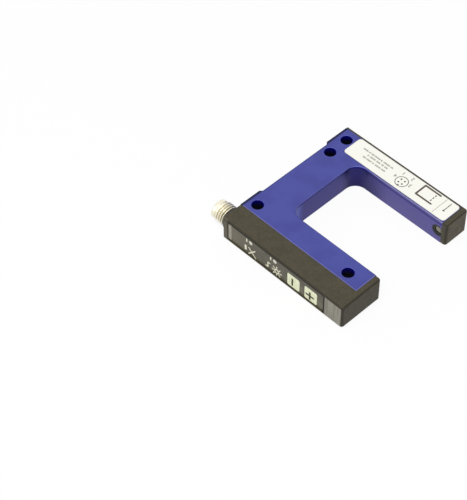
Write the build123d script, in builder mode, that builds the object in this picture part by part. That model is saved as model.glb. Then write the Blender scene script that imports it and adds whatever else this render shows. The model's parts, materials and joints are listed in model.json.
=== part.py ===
from build123d import *
import os

os.makedirs("parts", exist_ok=True)

# Fork sensor with a through-beam light barrier between two flat arms.
# All sizes are in millimetres.
# X runs along the arms to their tips, Y from the control arm to the label arm, Z up.
# The origin is the middle of the footprint, on the base.

# The fork as a whole
thickness = 10.0
gap_width = 32.0
gap_depth = 41.0
gap_corner_radius = 4.5
bridge_depth = 14.0
control_arm_width = 18.0
label_arm_width = 10.5
edge_break = 0.25

# Raised pads at the back of the frame, with a shallow relief between them
relief_depth = 0.85
control_pad_width = 17.3

# Mounting holes
hole_radius = 2.1
hole_lead_in = 0.2
hole_from_back = 4.3
hole_from_control_face = 12.3
hole_from_tip = 9.3
inner_hole_from_gap = 2.8
outer_hole_from_edge = 5.1

# Plastic cover on the control arm, which holds the electronics
cap_thickness = 2.2
front_wall = 1.5
side_wall = 0.9
back_wall = 1.6
tip_wall = 1.4
cover_edge_radius = 0.8
cover_base_chamfer = 0.6
cover_corner_radius = 1.0
tongue_depth = 1.5
tongue_from_link_bore = 1.9
fit_clearance = 0.1

# Plastic cover on the label arm, which closes the cable channel
strip_thickness = 1.0
strip_edge_radius = 0.6
strip_base_chamfer = 0.4
channel_start = 8.5
inner_wall = 5.0
channel_height = 5.6
channel_corner_radius = 1.0
strip_rib_depth = 1.2

# Keypad on the outer face of the control arm
foil_from_back = 2.4
foil_from_tip = 8.7
foil_margin = 1.0
foil_sink = 0.4
foil_thickness = 0.3
foil_groove_width = 0.5
foil_groove_depth = 0.3
key_size = 5.6
key_corner_radius = 0.7
key_edge_chamfer = 0.12
key_pitch = 7.8
key_from_foil_end = 5.7
key_height = 3.95
key_travel = 0.3
key_clearance = 0.1
key_tab_reach = 0.6
key_tab_thickness = 0.5
key_stem_width = 2.0
key_stem_length = 0.2

# Indicator lights beside the keys
pipe_radius = 0.8
pipe_flange_width = 2.2
pipe_flange_thickness = 0.5
pipe_clearance = 0.05
pipe_height = 7.15
power_light_from_foil = 10.7
light_pitch = 11.15
lamp_length = 1.6
lamp_width = 0.9
lamp_height = 0.8

# Circuit boards
board_thickness = 0.8
board_standoff = 2.2
board_clearance = 0.3
rib_thickness = 0.8
switch_size = 4.2
switch_height = 0.8
switch_button_radius = 1.2
chip_size = 5.0
chip_height = 0.9
header_length = 2.6
header_depth = 3.2
receiver_board_length = 11.0
receiver_standoff = 1.35

# Light barrier near the tips
lens_from_tip = 3.8
lens_bore_radius = 2.4
holder_clearance = 0.05
funnel_radius = 2.05
funnel_depth = 0.35
lens_radius = 1.35
lens_length = 1.5
lens_crown = 0.3
aperture_radius = 0.9
aperture_length = 0.6
emitter_radius = 1.3
emitter_length = 3.6
lead_width = 0.45
lead_pitch = 1.3

# Cable between the two boards, through the bridge
link_from_back = 10.9
link_bore_radius = 1.4
link_cable_width = 2.2
link_cable_thickness = 0.7
link_bend_radius = 3.0

# Plug
plug_length = 7.2
plug_side_room = 0.2
plug_thread_radius = 4.0
plug_thread_length = 4.0
plug_neck_radius = 3.3
plug_collar_radius = 3.6
plug_collar_length = 1.7
plug_collar_chamfer = 0.4
plug_bore_radius = 2.75
plug_root_length = 4.5
plug_chamfer = 0.3
seal_width = 0.9
seal_clearance = 0.02
seal_radius = 4.15
seal_shoulder_width = 0.2
seal_shoulder_drop = 0.25
insert_clearance = 0.05
insert_recess = 5.4
pin_radius = 0.5
pin_circle_radius = 1.5
pin_clearance = 0.02
pin_recess = 1.0
pin_count = 4
pin_start_angle = 45
key_notch_width = 0.8
key_notch_depth = 0.45

# Type label on the top of the label arm
label_from_back = 7.2
label_end_margin = 0.2
label_inner_margin = 0.6
label_outer_margin = 0.1
label_thickness = 0.1
label_corner_radius = 1.2

# Places worked out from the sizes above
fork_width = control_arm_width + gap_width + label_arm_width
cover_width = front_wall + 2 * (plug_neck_radius + plug_side_room)
arm_length = bridge_depth + gap_depth
z_mid = thickness / 2
x_back = (plug_length - arm_length) / 2
x_tip = x_back + arm_length
x_frame_end = x_tip - cap_thickness
x_bridge = x_back + bridge_depth
y_face = -fork_width / 2
y_outer = fork_width / 2
y_cover = y_face + cover_width
y_gap_low = y_face + control_arm_width
y_gap_high = y_gap_low + gap_width
y_strip = y_outer - strip_thickness
y_channel = y_gap_high + inner_wall
channel_depth = y_strip - y_channel
x_hole = x_back + hole_from_back
x_tip_hole = x_tip - hole_from_tip
y_control_hole = y_face + hole_from_control_face
x_lens = x_tip - lens_from_tip
x_link = x_back + link_from_back
x_foil_start = x_back + foil_from_back
x_foil_end = x_tip - foil_from_tip
y_foil = y_face + foil_sink
y_foil_back = y_foil + foil_thickness
foil_length = x_foil_end - x_foil_start
foil_height = thickness - 2 * foil_margin
x_plus_key = x_foil_end - key_from_foil_end
x_minus_key = x_plus_key - key_pitch
x_power_light = x_foil_start + power_light_from_foil
x_output_light = x_power_light + light_pitch
y_wall_inside = y_face + front_wall
y_board = y_wall_inside + board_standoff
y_board_back = y_board + board_thickness
x_board_start = x_back + back_wall + plug_root_length + fit_clearance
x_board_end = x_tip - tip_wall - board_clearance
board_height = thickness - 2 * (side_wall + board_clearance)
y_plug = y_face + front_wall + plug_neck_radius + plug_side_room
y_receiver_board = y_channel + receiver_standoff
x_receiver_board_end = x_frame_end - board_clearance
x_receiver_board_start = x_receiver_board_end - receiver_board_length
y_link_run = y_receiver_board + board_thickness / 2


def plane_at_x(x):
    """Plane across the arms at x, with Y to its right and Z up."""
    return Plane.YZ.offset(x)


def plane_at_y(y):
    """Plane along the arms at y, with X to its right and Z up. It faces the control side."""
    return Plane.XZ.offset(-y)


def is_near(value, target):
    """True where a coordinate lies on a seam or face."""
    return abs(value - target) < 0.01


def rim_edges(part, level, seams_x, seams_y):
    """Edges round the top (level -1) or base (level 0) of a part, without those on its seams."""
    rim = part.faces().filter_by(Axis.Z).sort_by(Axis.Z)[level].outer_wire().edges()
    return [
        edge
        for edge in rim
        if not any(is_near(edge.center().X, seam) for seam in seams_x)
        and not any(is_near(edge.center().Y, seam) for seam in seams_y)
    ]


def save(builder, name):
    """Label a finished piece and write its file."""
    builder.part.label = name
    export_step(builder.part, f"parts/{name}.step")


# Frame: one anodised aluminium fork, milled for the cable, the optics and the covers
mounting_holes = [
    (x_hole, y_control_hole),
    (x_tip_hole, y_control_hole),
    (x_hole, y_gap_high - inner_hole_from_gap),
    (x_hole, y_outer - outer_hole_from_edge),
]
x_relief = x_back + relief_depth
y_control_pad = y_face + control_pad_width

with BuildPart() as fork_frame:
    with BuildSketch():
        with BuildLine():
            Polyline(
                (x_back, y_cover),
                (x_frame_end, y_cover),
                (x_frame_end, y_gap_low),
                (x_bridge, y_gap_low),
                (x_bridge, y_gap_high),
                (x_frame_end, y_gap_high),
                (x_frame_end, y_strip),
                (x_back, y_strip),
                (x_back, y_gap_high),
                (x_relief, y_gap_high - relief_depth),
                (x_relief, y_control_pad + relief_depth),
                (x_back, y_control_pad),
                close=True,
            )
        outline = make_face()
        inner_corners = outline.vertices().filter_by(lambda v: is_near(v.X, x_bridge))
        fillet(inner_corners, radius=gap_corner_radius)
    extrude(amount=thickness)
    for level in (0, -1):
        frame_rim = rim_edges(fork_frame, level, [x_frame_end], [y_cover, y_strip])
        chamfer(frame_rim, length=edge_break)
    # Tongue that centres the control cover
    tongue_height = thickness - 2 * (side_wall + fit_clearance)
    x_tongue_start = x_link + link_bore_radius + tongue_from_link_bore
    x_tongue_end = x_lens - lens_bore_radius - fit_clearance
    with BuildSketch(plane_at_y(y_cover)):
        with Locations(((x_tongue_start + x_tongue_end) / 2, z_mid)):
            Rectangle(x_tongue_end - x_tongue_start, tongue_height)
    extrude(amount=tongue_depth)
    # Mounting holes with a small lead-in at both faces
    with BuildSketch():
        with Locations(mounting_holes):
            Circle(hole_radius)
    extrude(amount=thickness, mode=Mode.SUBTRACT)
    hole_rims = fork_frame.edges().filter_by(GeomType.CIRCLE).filter_by(
        lambda e: is_near(e.radius, hole_radius)
    )
    chamfer(hole_rims, length=hole_lead_in)
    # Cable channel in the label arm, open to its outer side and its tip
    channel_length = x_frame_end - x_back - channel_start
    with BuildSketch(plane_at_y(y_strip)):
        with Locations((x_frame_end - channel_length / 2, z_mid)):
            channel_mouth = Rectangle(channel_length, channel_height)
        closed_end = channel_mouth.vertices().filter_by(
            lambda v: is_near(v.X, x_back + channel_start)
        )
        fillet(closed_end, radius=channel_corner_radius)
    extrude(amount=channel_depth, mode=Mode.SUBTRACT)
    # Bore for the cable, through the whole bridge
    with BuildSketch(plane_at_y(y_channel)):
        with Locations((x_link, z_mid)):
            Circle(link_bore_radius)
    extrude(amount=y_channel - y_cover, mode=Mode.SUBTRACT)
    # One straight line bore for the optics, through both arms
    with BuildSketch(plane_at_y(y_channel)):
        with Locations((x_lens, z_mid)):
            Circle(lens_bore_radius)
    extrude(amount=y_channel - y_cover, mode=Mode.SUBTRACT)
save(fork_frame, "fork_frame")


# Control cover: a moulded shell, open towards the frame, with a cap over the arm's tip
key_opening = key_size + 2 * key_clearance
key_spots = [(x_minus_key, key_height), (x_plus_key, key_height)]
pipe_spots = [(x_power_light, pipe_height), (x_output_light, pipe_height)]
cavity_length = arm_length - back_wall - tip_wall
cavity_height = thickness - 2 * side_wall
cavity_depth = cover_width - front_wall
x_cavity_mid = x_back + back_wall + cavity_length / 2

with BuildPart() as control_cover:
    with BuildSketch():
        with BuildLine():
            Polyline(
                (x_back, y_face),
                (x_tip, y_face),
                (x_tip, y_gap_low),
                (x_frame_end, y_gap_low),
                (x_frame_end, y_cover),
                (x_back, y_cover),
                close=True,
            )
        outline = make_face()
        outer_corners = outline.vertices().filter_by(
            lambda v: is_near(v.Y, y_face) or is_near(v.X, x_tip)
        )
        fillet(outer_corners, radius=cover_corner_radius)
    extrude(amount=thickness)
    fillet(rim_edges(control_cover, -1, [x_frame_end], [y_cover]), radius=cover_edge_radius)
    chamfer(rim_edges(control_cover, 0, [x_frame_end], [y_cover]), length=cover_base_chamfer)
    with BuildSketch(plane_at_y(y_cover)):
        with Locations((x_cavity_mid, z_mid)):
            Rectangle(cavity_length, cavity_height)
    extrude(amount=cavity_depth, mode=Mode.SUBTRACT)
    # Shallow seat for the foil, with a deeper groove at its tip end
    seat_length = foil_length + foil_groove_width
    with BuildSketch(plane_at_y(y_face)):
        with Locations((x_foil_start + seat_length / 2, z_mid)):
            Rectangle(seat_length, foil_height)
    extrude(amount=-(foil_sink + foil_thickness), mode=Mode.SUBTRACT)
    with BuildSketch(plane_at_y(y_foil_back)):
        with Locations((x_foil_end + foil_groove_width / 2, z_mid)):
            Rectangle(foil_groove_width, foil_height)
    extrude(amount=-foil_groove_depth, mode=Mode.SUBTRACT)
    # Openings for the keys and the indicator lights
    with BuildSketch(plane_at_y(y_face)):
        with Locations(key_spots):
            RectangleRounded(key_opening, key_opening, key_corner_radius + key_clearance)
        with Locations(pipe_spots):
            Circle(pipe_radius + pipe_clearance)
    extrude(amount=-front_wall, mode=Mode.SUBTRACT)
    # Opening for the plug
    with BuildSketch(plane_at_x(x_back)):
        with Locations((y_plug, z_mid)):
            Circle(plug_neck_radius + fit_clearance)
    extrude(amount=back_wall, mode=Mode.SUBTRACT)
    # Ribs that carry the control board
    key_reach = key_size / 2 + key_tab_reach + fit_clearance + rib_thickness / 2
    rib_spots = [
        (x_board_start + rib_thickness, z_mid),
        ((x_power_light + x_output_light) / 2, z_mid),
        (x_plus_key + key_reach, z_mid),
    ]
    with BuildSketch(plane_at_y(y_board)):
        with Locations(rib_spots):
            Rectangle(rib_thickness, cavity_height)
    extrude(amount=board_standoff)
save(control_cover, "control_cover")


# Label arm cover: a thin strip along the outer side, with a cap over the arm's tip
with BuildPart() as label_arm_cover:
    with BuildSketch():
        with BuildLine():
            Polyline(
                (x_back, y_strip),
                (x_frame_end, y_strip),
                (x_frame_end, y_gap_high),
                (x_tip, y_gap_high),
                (x_tip, y_outer),
                (x_back, y_outer),
                close=True,
            )
        outline = make_face()
        tip_corners = outline.vertices().filter_by(lambda v: is_near(v.X, x_tip))
        fillet(tip_corners, radius=cover_corner_radius)
    extrude(amount=thickness)
    fillet(rim_edges(label_arm_cover, -1, [x_frame_end], [y_strip]), radius=strip_edge_radius)
    chamfer(rim_edges(label_arm_cover, 0, [x_frame_end], [y_strip]), length=strip_base_chamfer)
    # Rib that closes the cable channel
    rib_start = x_back + channel_start + channel_corner_radius
    with BuildSketch(plane_at_y(y_strip)):
        with Locations(((rib_start + x_frame_end) / 2, z_mid)):
            Rectangle(x_frame_end - rib_start, channel_height - 2 * fit_clearance)
    extrude(amount=strip_rib_depth)
save(label_arm_cover, "label_arm_cover")


# Keypad foil, cut out round the keys and the lights
with BuildPart() as keypad_foil:
    with BuildSketch(plane_at_y(y_foil)):
        with Locations(((x_foil_start + x_foil_end) / 2, z_mid)):
            Rectangle(foil_length, foil_height)
        with Locations(key_spots):
            RectangleRounded(
                key_opening, key_opening, key_corner_radius + key_clearance, mode=Mode.SUBTRACT
            )
        with Locations(pipe_spots):
            Circle(pipe_radius + pipe_clearance, mode=Mode.SUBTRACT)
    extrude(amount=-foil_thickness)
save(keypad_foil, "keypad_foil")


# Keys: a square cap, two tabs that hold it behind the wall, and a stem over its switch
key_tab_start = y_wall_inside + fit_clearance
key_back = key_tab_start + key_tab_thickness
switch_button_front = key_back + key_stem_length + key_travel + fit_clearance / 2


def build_key(x, name):
    """One key at x on the control face."""
    with BuildPart() as key:
        with BuildSketch(plane_at_y(y_foil)):
            with Locations((x, key_height)):
                RectangleRounded(key_size, key_size, key_corner_radius)
        extrude(amount=-(key_back - y_foil))
        front_rim = key.faces().sort_by(Axis.Y)[0].edges()
        chamfer(front_rim, length=key_edge_chamfer)
        with BuildSketch(plane_at_y(key_tab_start)):
            with Locations((x, key_height)):
                Rectangle(key_size + 2 * key_tab_reach, key_size - 2 * key_corner_radius)
        extrude(amount=-key_tab_thickness)
        with BuildSketch(plane_at_y(key_back)):
            with Locations((x, key_height)):
                Rectangle(key_stem_width, key_stem_width)
        extrude(amount=-key_stem_length)
    save(key, name)


build_key(x_minus_key, "minus_key")
build_key(x_plus_key, "plus_key")


def build_switch(x, name):
    """One short-travel switch on the control board, behind a key."""
    with BuildPart() as switch:
        with BuildSketch(plane_at_y(y_board)):
            with Locations((x, key_height)):
                Rectangle(switch_size, switch_size)
        extrude(amount=switch_height)
        with BuildSketch(plane_at_y(y_board - switch_height)):
            with Locations((x, key_height)):
                Circle(switch_button_radius)
        extrude(amount=y_board - switch_height - switch_button_front)
    save(switch, name)


build_switch(x_minus_key, "minus_switch")
build_switch(x_plus_key, "plus_switch")


def build_light(x, lamp_name, pipe_name):
    """One lamp on the control board, with the clear pipe that shows it on the foil."""
    lamp_front = y_board - lamp_height
    with BuildPart() as lamp:
        with BuildSketch(plane_at_y(y_board)):
            with Locations((x, pipe_height)):
                Rectangle(lamp_length, lamp_width)
        extrude(amount=lamp_height)
    save(lamp, lamp_name)
    with BuildPart() as pipe:
        with BuildSketch(plane_at_y(y_foil)):
            with Locations((x, pipe_height)):
                Circle(pipe_radius)
        extrude(amount=-(lamp_front - y_foil))
        with BuildSketch(plane_at_y(y_wall_inside)):
            with Locations((x, pipe_height)):
                Rectangle(pipe_flange_width, pipe_flange_width)
        extrude(amount=-pipe_flange_thickness)
    save(pipe, pipe_name)


build_light(x_power_light, "power_lamp", "power_light_pipe")
build_light(x_output_light, "output_lamp", "output_light_pipe")


# Control board, on the ribs of its cover
with BuildPart() as control_board:
    with BuildSketch(plane_at_y(y_board)):
        with Locations(((x_board_start + x_board_end) / 2, z_mid)):
            Rectangle(x_board_end - x_board_start, board_height)
    extrude(amount=-board_thickness)
save(control_board, "control_board")

with BuildPart() as controller_chip:
    with BuildSketch(plane_at_y(y_board_back)):
        with Locations(((x_output_light + x_minus_key) / 2, z_mid)):
            Rectangle(chip_size, chip_size)
    extrude(amount=-chip_height)
save(controller_chip, "controller_chip")

with BuildPart() as board_header:
    with BuildSketch(plane_at_y(y_board_back)):
        with Locations((x_board_start + header_length / 2, z_mid)):
            Rectangle(header_length, 2 * (pin_circle_radius + pin_radius))
    extrude(amount=-header_depth)
save(board_header, "board_header")


# Light barrier: in each arm a holder and its lens, with the emitter or the receiver behind
lens_back = funnel_depth + lens_crown + lens_length
pocket_start = lens_back + aperture_length
pocket_radius = emitter_radius + holder_clearance
holder_radius = lens_bore_radius - holder_clearance


def bore_profile_plane(mouth_y, into_arm):
    """Plane through the bore's axis, with the radius to its right and the depth up."""
    return Plane(origin=(x_lens, mouth_y, z_mid), x_dir=(1, 0, 0), z_dir=(0, 0, into_arm))


def bore_cross_plane(mouth_y, into_arm, depth):
    """Plane across the bore at a depth, facing into the arm."""
    y = mouth_y + into_arm * depth
    return Plane(origin=(x_lens, y, z_mid), x_dir=(1, 0, 0), z_dir=(0, into_arm, 0))


def build_holder(mouth_y, into_arm, length, name):
    """Lens holder. Its mouth is in the arm's inner face, and into_arm is -1 or 1 along Y."""
    seat_radius = lens_radius + holder_clearance
    with BuildPart() as holder:
        with BuildSketch(bore_profile_plane(mouth_y, into_arm)):
            with BuildLine():
                Polyline(
                    (funnel_radius, 0),
                    (holder_radius, 0),
                    (holder_radius, length),
                    (pocket_radius, length),
                    (pocket_radius, pocket_start),
                    (aperture_radius, pocket_start),
                    (aperture_radius, lens_back),
                    (seat_radius, lens_back),
                    (seat_radius, funnel_depth),
                    close=True,
                )
            make_face()
        revolve(axis=Axis((x_lens, mouth_y, z_mid), (0, into_arm, 0)))
        # Flat that lies against the cap on the arm's tip
        with BuildSketch(bore_cross_plane(mouth_y, into_arm, 0)):
            with Locations((x_frame_end - x_lens + lens_bore_radius, 0)):
                Rectangle(2 * lens_bore_radius, 2 * lens_bore_radius)
        extrude(amount=length, mode=Mode.SUBTRACT)
    save(holder, name)


def build_lens(mouth_y, into_arm, name):
    """Plano-convex lens, crowned towards the gap."""
    rim_depth = funnel_depth + lens_crown
    with BuildPart() as lens:
        with BuildSketch(bore_profile_plane(mouth_y, into_arm)):
            with BuildLine():
                Line((0, funnel_depth), (0, lens_back))
                Line((0, lens_back), (lens_radius, lens_back))
                Line((lens_radius, lens_back), (lens_radius, rim_depth))
                TangentArc((0, funnel_depth), (lens_radius, rim_depth), tangent=(1, 0))
            make_face()
        revolve(axis=Axis((x_lens, mouth_y, z_mid), (0, into_arm, 0)))
    save(lens, name)


def build_optic(mouth_y, into_arm, body_length, lead_length, name):
    """Round emitter or receiver behind the aperture, with any leads that reach its board."""
    with BuildPart() as optic:
        with BuildSketch(bore_cross_plane(mouth_y, into_arm, pocket_start)):
            Circle(emitter_radius)
        extrude(amount=body_length)
        if lead_length > 0:
            with BuildSketch(bore_cross_plane(mouth_y, into_arm, pocket_start + body_length)):
                with Locations((0, -lead_pitch / 2), (0, lead_pitch / 2)):
                    Rectangle(lead_width, lead_width)
            extrude(amount=lead_length)
    save(optic, name)


emitter_back = y_gap_low - pocket_start - emitter_length
receiver_length = y_receiver_board - y_gap_high - pocket_start

build_holder(y_gap_low, -1, y_gap_low - y_cover, "emitter_holder")
build_lens(y_gap_low, -1, "emitter_lens")
build_optic(y_gap_low, -1, emitter_length, emitter_back - y_board_back, "emitter_diode")
build_holder(y_gap_high, 1, inner_wall, "receiver_holder")
build_lens(y_gap_high, 1, "receiver_lens")
build_optic(y_gap_high, 1, receiver_length, 0, "receiver_diode")


# Receiver board, in the channel of the label arm
with BuildPart() as receiver_board:
    with BuildSketch(plane_at_y(y_receiver_board)):
        with Locations((x_receiver_board_end - receiver_board_length / 2, z_mid)):
            Rectangle(receiver_board_length, channel_height - 2 * board_clearance)
    extrude(amount=-board_thickness)
save(receiver_board, "receiver_board")


# Flat cable between the boards: across the bridge, round one bend and along the label arm
with BuildPart() as link_cable:
    with BuildLine() as route:
        FilletPolyline(
            (x_link, y_board_back, z_mid),
            (x_link, y_link_run, z_mid),
            (x_receiver_board_start, y_link_run, z_mid),
            radius=link_bend_radius,
        )
    with BuildSketch(plane_at_y(y_board_back)):
        with Locations((x_link, z_mid)):
            Rectangle(link_cable_thickness, link_cable_width)
    sweep()
save(link_cable, "link_cable")


# Plug: a threaded metal sleeve, moulded into the back wall of the control cover
thread_start = seal_width + 2 * seal_clearance
thread_end = thread_start + plug_thread_length
root_end = back_wall + plug_root_length
plug_axis = Axis((x_back, y_plug, z_mid), (1, 0, 0))
plug_profile = Plane(origin=(x_back, y_plug, z_mid), x_dir=(1, 0, 0), z_dir=(0, -1, 0))

with BuildPart() as plug_sleeve:
    with BuildSketch(plug_profile):
        with BuildLine():
            Polyline(
                (root_end, plug_bore_radius),
                (root_end, plug_neck_radius),
                (-thread_start, plug_neck_radius),
                (-thread_start, plug_thread_radius),
                (-thread_end + plug_chamfer, plug_thread_radius),
                (-thread_end, plug_thread_radius - plug_chamfer),
                (-thread_end, plug_neck_radius),
                (-plug_length + plug_collar_length, plug_neck_radius),
                (-plug_length + plug_collar_length, plug_collar_radius),
                (-plug_length + plug_collar_chamfer, plug_collar_radius),
                (-plug_length, plug_collar_radius - plug_collar_chamfer),
                (-plug_length, plug_bore_radius),
                close=True,
            )
        make_face()
    revolve(axis=plug_axis)
save(plug_sleeve, "plug_sleeve")

# Seal between the thread and the cover, crowned like a squeezed ring
seal_inner_radius = plug_neck_radius + seal_clearance
seal_shoulder_radius = seal_radius - seal_shoulder_drop
seal_start = seal_clearance
seal_end = seal_start + seal_width

with BuildPart() as plug_seal:
    with BuildSketch(plug_profile):
        with BuildLine():
            Polyline(
                (-seal_start, seal_inner_radius),
                (-seal_start - seal_shoulder_width, seal_shoulder_radius),
                (-(seal_start + seal_end) / 2, seal_radius),
                (-seal_end + seal_shoulder_width, seal_shoulder_radius),
                (-seal_end, seal_inner_radius),
                close=True,
            )
        make_face()
    revolve(axis=plug_axis)
save(plug_seal, "plug_seal")

insert_radius = plug_bore_radius - insert_clearance
x_insert_face = x_back - plug_length + insert_recess
insert_length = x_back + root_end - x_insert_face

with BuildPart() as plug_insert:
    with BuildSketch(plane_at_x(x_insert_face)):
        with Locations((y_plug, z_mid)):
            Circle(insert_radius)
            with PolarLocations(pin_circle_radius, pin_count, start_angle=pin_start_angle):
                Circle(pin_radius + pin_clearance, mode=Mode.SUBTRACT)
        with Locations((y_plug, z_mid + insert_radius)):
            Rectangle(key_notch_width, 2 * key_notch_depth, mode=Mode.SUBTRACT)
    extrude(amount=insert_length)
save(plug_insert, "plug_insert")

x_pin_tip = x_back - plug_length + pin_recess

with BuildPart() as plug_pins:
    with BuildSketch(plane_at_x(x_pin_tip)):
        with Locations((y_plug, z_mid)):
            with PolarLocations(pin_circle_radius, pin_count, start_angle=pin_start_angle):
                Circle(pin_radius)
    extrude(amount=x_board_start - x_pin_tip)
save(plug_pins, "plug_pins")


# Type label
label_length = x_frame_end - label_end_margin - x_back - label_from_back
label_width = y_strip - label_outer_margin - y_gap_high - label_inner_margin
label_x = x_back + label_from_back + label_length / 2
label_y = y_gap_high + label_inner_margin + label_width / 2

with BuildPart() as type_label:
    with BuildSketch(Plane.XY.offset(thickness)):
        with Locations((label_x, label_y)):
            RectangleRounded(label_length, label_width, label_corner_radius)
    extrude(amount=label_thickness)
save(type_label, "type_label")
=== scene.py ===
# %% [markdown]
# # The looks of a fork sensor
# A fork sensor is a small light barrier. One arm of the fork sends a beam across the gap, the
# other arm catches it, and whatever passes between them is counted. The solid model is already
# there as a fixed frame of named nodes. This script gives each node its finish, and models what
# a solid model leaves plain: the real thread of the plug, its seal ring and contacts, and the
# printed signs.

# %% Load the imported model
import json
import math

import bmesh
import bpy
from mathutils import Matrix, Quaternion, Vector


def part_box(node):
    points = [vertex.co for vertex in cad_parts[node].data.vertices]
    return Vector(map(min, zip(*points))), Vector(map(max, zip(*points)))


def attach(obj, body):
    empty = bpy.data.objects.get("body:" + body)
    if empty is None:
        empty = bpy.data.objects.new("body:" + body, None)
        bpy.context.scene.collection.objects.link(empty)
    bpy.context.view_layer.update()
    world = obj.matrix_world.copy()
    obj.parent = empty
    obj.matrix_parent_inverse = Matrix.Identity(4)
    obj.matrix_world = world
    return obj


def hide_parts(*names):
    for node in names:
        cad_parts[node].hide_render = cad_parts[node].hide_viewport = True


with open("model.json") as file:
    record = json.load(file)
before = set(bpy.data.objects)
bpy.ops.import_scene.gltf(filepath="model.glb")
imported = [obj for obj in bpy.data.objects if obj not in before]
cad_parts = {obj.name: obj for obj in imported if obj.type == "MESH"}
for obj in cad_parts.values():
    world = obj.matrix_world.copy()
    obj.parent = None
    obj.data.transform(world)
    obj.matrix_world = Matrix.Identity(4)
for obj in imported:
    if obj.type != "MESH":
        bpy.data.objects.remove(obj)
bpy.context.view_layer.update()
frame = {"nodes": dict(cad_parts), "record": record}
nodes = frame["nodes"]

# %% [markdown]
# Blender counts in metres, and this sensor is 60 mm across. Writing `3.2 * MM` keeps every size
# readable. The places of faces, seams and holes are asked from the nodes and from the model's
# record, so the prints and finishes follow the model.

# %% Places taken from the model
MM = 0.001
TONGUE_DEPTH = 1.5 * MM  # how far the frame reaches into the control cover, out of sight

frame_low, frame_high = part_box("fork_frame")
cover_low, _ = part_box("control_cover")
foil_low, foil_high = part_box("keypad_foil")
label_low, label_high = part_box("type_label")
plug_low, plug_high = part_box("plug_sleeve")

back_x = frame_low.x
top_z = frame_high.z
middle_z = top_z / 2
seam_y = frame_low.y + TONGUE_DEPTH
seam_end_x = frame_high.x
plug_y = (plug_low.y + plug_high.y) / 2
plug_axis = (0, plug_y, middle_z)
bores = [mount for mount in frame["record"]["mounts"] if mount["kind"] == "bore"]
print("back face at", round(back_x / MM, 2), "plug axis at", round(plug_y / MM, 2), "bores", len(bores))

# %% [markdown]
# ## Camera
# The camera looks from where the photograph was taken: beyond the tips of the arms, on the side
# of the keys, and well above the sensor. A long lens keeps the arms almost parallel. A camera
# looks along its own minus Z, so `to_track_quat` turns the direction into a rotation. A roll of
# just over half a degree follows, which is how far the photograph leans. A constraint could aim
# the camera too, but plain numbers are easier to match to a picture.

# %% Camera
LENS_LENGTH = 121.14  # millimetres, for a sensor 36 mm wide
CAMERA_PLACE = (0.24860, -0.28480, 0.42400)
CAMERA_LOOKS_ALONG = Vector((-0.47387, 0.45142, -0.75608))
CAMERA_ROLL = math.radians(-0.64)

camera_lens = bpy.data.cameras.new("photo_camera")
camera_lens.lens = LENS_LENGTH
camera_lens.sensor_width = 36.0
camera_lens.clip_start = 0.01
camera_lens.clip_end = 20.0
camera = bpy.data.objects.new("photo_camera", camera_lens)
camera.location = CAMERA_PLACE
camera_turn = CAMERA_LOOKS_ALONG.to_track_quat("-Z", "Y") @ Quaternion((0, 0, 1), CAMERA_ROLL)
camera.rotation_euler = camera_turn.to_euler()
bpy.context.scene.collection.objects.link(camera)
bpy.context.scene.camera = camera
bpy.context.scene.view_settings.view_transform = "Standard"
print("camera at", [round(c, 3) for c in camera.location])

# %% [markdown]
# ## Shader sums
# A finish is mostly arithmetic on where a point lies on the piece: a dark band here, a grain
# there. Blender wants one node for each sum. The class below wraps one socket, so that a sum can
# be written as Python, such as `1 - mask * 0.3`, and each operator adds its Math node. Every
# other node comes from the method `node`, which sets the node's settings first and then its
# sockets.


# %% A socket that can be used in sums
class Field:
    """A value that varies over a surface."""

    def __init__(self, socket):
        self.socket = socket

    def node(self, kind, settings=None, inputs=None, output=0):
        """Adds a node to this material: its settings first, then its values and links."""
        made = self.socket.id_data.nodes.new(kind)
        for name, setting in (settings or {}).items():
            setattr(made, name, setting)
        for name, source in (inputs or {}).items():
            feed(made.inputs[name], source)
        return Field(made.outputs[output])

    def math(self, operation, *numbers):
        """Adds one Math node."""
        return self.node("ShaderNodeMath", {"operation": operation}, dict(enumerate(numbers)))

    def __add__(self, other):
        return self.math("ADD", self, other)

    def __radd__(self, other):
        return self.math("ADD", other, self)

    def __sub__(self, other):
        return self.math("SUBTRACT", self, other)

    def __rsub__(self, other):
        return self.math("SUBTRACT", other, self)

    def __mul__(self, other):
        return self.math("MULTIPLY", self, other)

    def __rmul__(self, other):
        return self.math("MULTIPLY", other, self)

    def __pow__(self, other):
        return self.math("POWER", self, other)

    def __abs__(self):
        return self.math("ABSOLUTE", self)


def feed(socket, source):
    """Links a field to a socket, or writes a plain value in it."""
    if isinstance(source, Field):
        socket.id_data.links.new(source.socket, socket)
    else:
        socket.default_value = source


print("Field writes shader sums as Python")

# %% [markdown]
# A few small helpers cover most of what the finishes need. `ramp` turns a value into a soft mask,
# `between` is a soft band, and `tint` mixes two colours by a mask. Colours are written as the 0 to
# 255 numbers of a paint chart and turned into Blender's linear numbers. `layered` lays one colour
# after another over a base, as a painter would.


# %% Helpers for masks and colours
def paint(red, green, blue):
    """A colour from its 0 to 255 numbers, as linear numbers with an alpha of 1."""
    parts = [c / 255 for c in (red, green, blue)]
    linear = [c / 12.92 if c < 0.04045 else ((c + 0.055) / 1.055) ** 2.4 for c in parts]
    return (*linear, 1.0)


def ramp(field, low, high):
    """0 where the field is at low, 1 where it is at high, and smooth between them."""
    ends = {"Value": field, "From Min": low, "From Max": high}
    return field.node("ShaderNodeMapRange", {"interpolation_type": "SMOOTHSTEP"}, ends)


def between(field, low, high, blur):
    """1 from low to high, and 0 outside them, with soft ends of this length."""
    return ramp(field, low - blur, low) * ramp(field, high + blur, high)


def larger(first, second):
    """The larger of two fields, which joins two masks."""
    return first.math("MAXIMUM", first, second)


def tint(mask, first, second):
    """The first colour where the mask is 0 and the second where it is 1."""
    mixed = {0: mask, 6: first, 7: second}
    return mask.node("ShaderNodeMix", {"data_type": "RGBA"}, mixed, output=2)


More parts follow.
